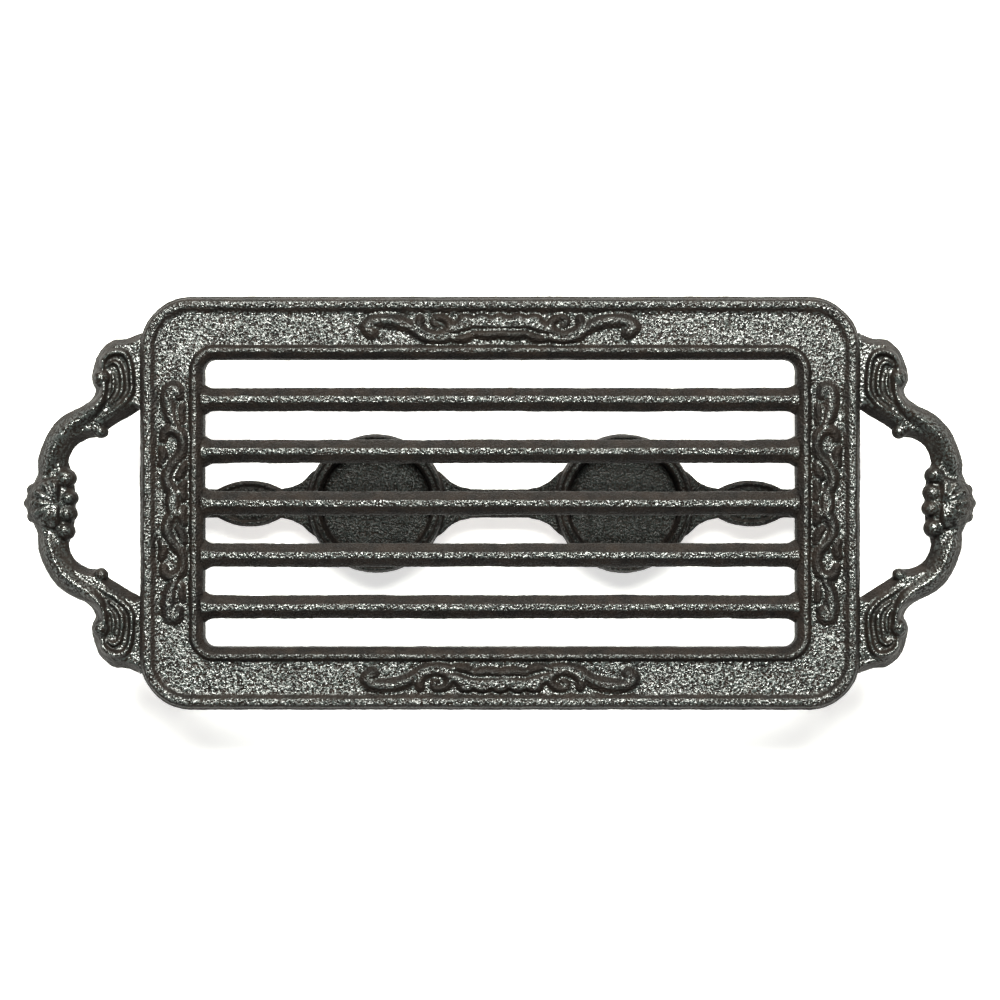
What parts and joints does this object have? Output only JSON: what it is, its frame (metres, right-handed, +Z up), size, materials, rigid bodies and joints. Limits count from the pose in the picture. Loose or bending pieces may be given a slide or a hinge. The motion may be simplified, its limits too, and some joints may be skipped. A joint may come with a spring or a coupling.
{
  "type": "tealight food warmer",
  "caption": "Rectangular cast-iron food warmer: a slotted grate with raised beads and scroll end handles, on end leg frames, over a tray with round tealight cups.",
  "frame": {"origin": "on the surface the feet stand on, under the middle of the grate", "axes": "+X along the grate from the left handle to the right one, +Y to the back, +Z up"},
  "size_m": [0.332, 0.1432, 0.07],
  "materials": {
    "cast_iron": "rough sand-cast surface, blackened, worn bright on the ridges",
    "blackened_steel": "black oxide on machine screws, nuts and washers"
  },
  "bodies": {
    "root": {"grate": "cast_iron", "left_handle": "cast_iron", "right_handle": "cast_iron", "left_leg_frame": "cast_iron", "right_leg_frame": "cast_iron", "candle_tray": "cast_iron", "left_front_leg_screw": "blackened_steel", "left_front_handle_screw": "blackened_steel", "left_back_leg_screw": "blackened_steel", "left_back_handle_screw": "blackened_steel", "left_tray_screw": "blackened_steel", "left_tray_washer": "blackened_steel", "left_tray_nut": "blackened_steel", "right_front_leg_screw": "blackened_steel", "right_front_handle_screw": "blackened_steel", "right_back_leg_screw": "blackened_steel", "right_back_handle_screw": "blackened_steel", "right_tray_screw": "blackened_steel", "right_tray_washer": "blackened_steel", "right_tray_nut": "blackened_steel"}
  },
  "joints": []
}
